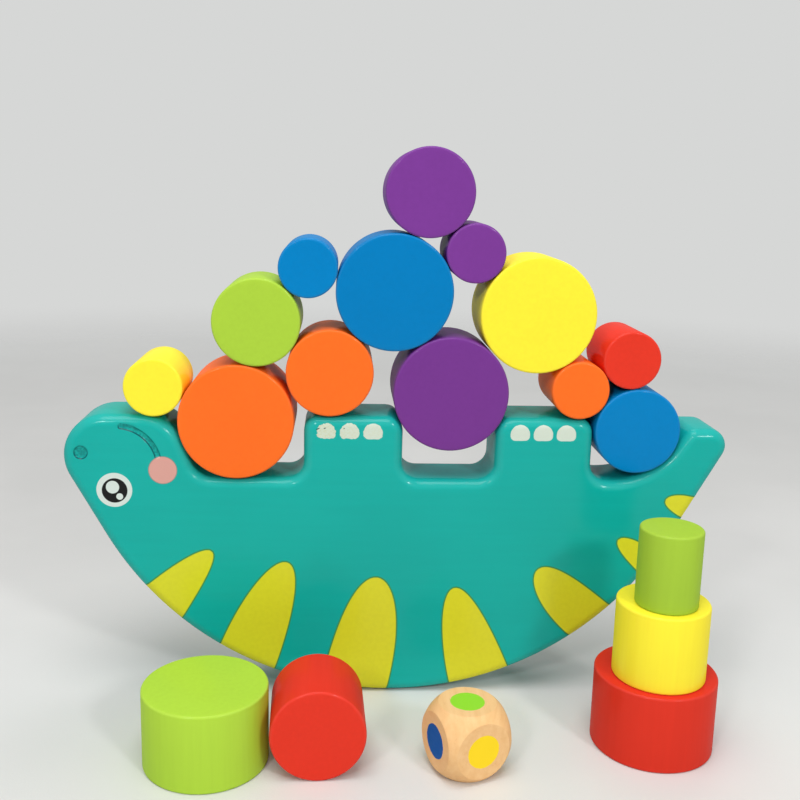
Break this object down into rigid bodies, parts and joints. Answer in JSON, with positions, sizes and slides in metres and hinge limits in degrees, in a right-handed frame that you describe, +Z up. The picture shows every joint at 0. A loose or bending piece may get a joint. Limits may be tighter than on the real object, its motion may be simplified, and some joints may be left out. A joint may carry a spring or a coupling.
{
  "type": "dinosaur balance game",
  "caption": "Wooden balance game: a rocking board cut as a dinosaur on its back, with coloured round blocks piled between its legs, more blocks on the table and a colour die.",
  "frame": {"origin": "on the table, under the middle of the board's round back, at the middle of its thickness", "axes": "+X along the board from its nose to its tail, +Y through the board's thickness and away from the loose pieces in front of it, +Z up from the table"},
  "size_m": [0.2345, 0.0877, 0.1968],
  "materials": {
    "teal": "satin paint over wood",
    "orange": "satin paint over wood",
    "purple": "satin paint over wood",
    "blue": "satin paint over wood",
    "yellow": "satin paint over wood",
    "green": "satin paint over wood",
    "red": "satin paint over wood",
    "beech": "bare sanded wood with painted dots"
  },
  "bodies": {
    "red_large": {"red_large": "red"},
    "dino_board": {"dino_board": "teal"},
    "orange_large": {"orange_large": "orange"},
    "purple_large": {"purple_large": "purple"},
    "blue_medium": {"blue_medium": "blue"},
    "orange_medium": {"orange_medium": "orange"},
    "orange_small": {"orange_small": "orange"},
    "yellow_small": {"yellow_small": "yellow"},
    "green_medium": {"green_medium": "green"},
    "blue_large": {"blue_large": "blue"},
    "yellow_large": {"yellow_large": "yellow"},
    "red_small": {"red_small": "red"},
    "blue_small": {"blue_small": "blue"},
    "purple_small": {"purple_small": "purple"},
    "purple_medium": {"purple_medium": "purple"},
    "yellow_medium": {"yellow_medium": "yellow"},
    "green_small": {"green_small": "green"},
    "green_large": {"green_large": "green"},
    "red_medium": {"red_medium": "red"},
    "color_die": {"color_die": "beech"}
  },
  "joints": [
    {"name": "board_rock", "type": "hinge", "parent": "red_large", "child": "dino_board", "pos_m": [0, 0, 0.116], "axis": [0, 1, 0], "range_deg": [-12, 12]},
    {"name": "orange_large_draw", "type": "slide", "parent": "dino_board", "child": "orange_large", "axis": [0, 1, 0], "range_m": [0, 0.06]},
    {"name": "purple_large_draw", "type": "slide", "parent": "dino_board", "child": "purple_large", "axis": [0, 1, 0], "range_m": [0, 0.06]},
    {"name": "blue_medium_draw", "type": "slide", "parent": "dino_board", "child": "blue_medium", "axis": [0, 1, 0], "range_m": [0, 0.06]},
    {"name": "orange_medium_draw", "type": "slide", "parent": "dino_board", "child": "orange_medium", "axis": [0, 1, 0], "range_m": [0, 0.06]},
    {"name": "orange_small_draw", "type": "slide", "parent": "dino_board", "child": "orange_small", "axis": [0, 1, 0], "range_m": [0, 0.06]},
    {"name": "yellow_small_draw", "type": "slide", "parent": "dino_board", "child": "yellow_small", "axis": [0, 1, 0], "range_m": [0, 0.06]},
    {"name": "green_medium_draw", "type": "slide", "parent": "dino_board", "child": "green_medium", "axis": [0, 1, 0], "range_m": [0, 0.06]},
    {"name": "blue_large_draw", "type": "slide", "parent": "dino_board", "child": "blue_large", "axis": [0, 1, 0], "range_m": [0, 0.06]},
    {"name": "yellow_large_draw", "type": "slide", "parent": "dino_board", "child": "yellow_large", "axis": [0, 1, 0], "range_m": [0, 0.06]},
    {"name": "red_small_draw", "type": "slide", "parent": "dino_board", "child": "red_small", "axis": [0, 1, 0], "range_m": [0, 0.06]},
    {"name": "blue_small_draw", "type": "slide", "parent": "dino_board", "child": "blue_small", "axis": [0, 1, 0], "range_m": [0, 0.06]},
    {"name": "purple_small_draw", "type": "slide", "parent": "dino_board", "child": "purple_small", "axis": [0, 1, 0], "range_m": [0, 0.06]},
    {"name": "purple_medium_draw", "type": "slide", "parent": "dino_board", "child": "purple_medium", "axis": [0, 1, 0], "range_m": [0, 0.06]},
    {"name": "yellow_medium_lift", "type": "slide", "parent": "red_large", "child": "yellow_medium", "axis": [0, 0, 1], "range_m": [0, 0.05]},
    {"name": "green_small_lift", "type": "slide", "parent": "yellow_medium", "child": "green_small", "axis": [0, 0, 1], "range_m": [0, 0.05]},
    {"name": "green_large_lift", "type": "slide", "parent": "red_large", "child": "green_large", "axis": [0, 0, 1], "range_m": [0, 0.05]},
    {"name": "red_medium_lift", "type": "slide", "parent": "red_large", "child": "red_medium", "axis": [0, 0, 1], "range_m": [0, 0.05]},
    {"name": "color_die_lift", "type": "slide", "parent": "red_large", "child": "color_die", "axis": [0, 0, 1], "range_m": [0, 0.05]}
  ]
}
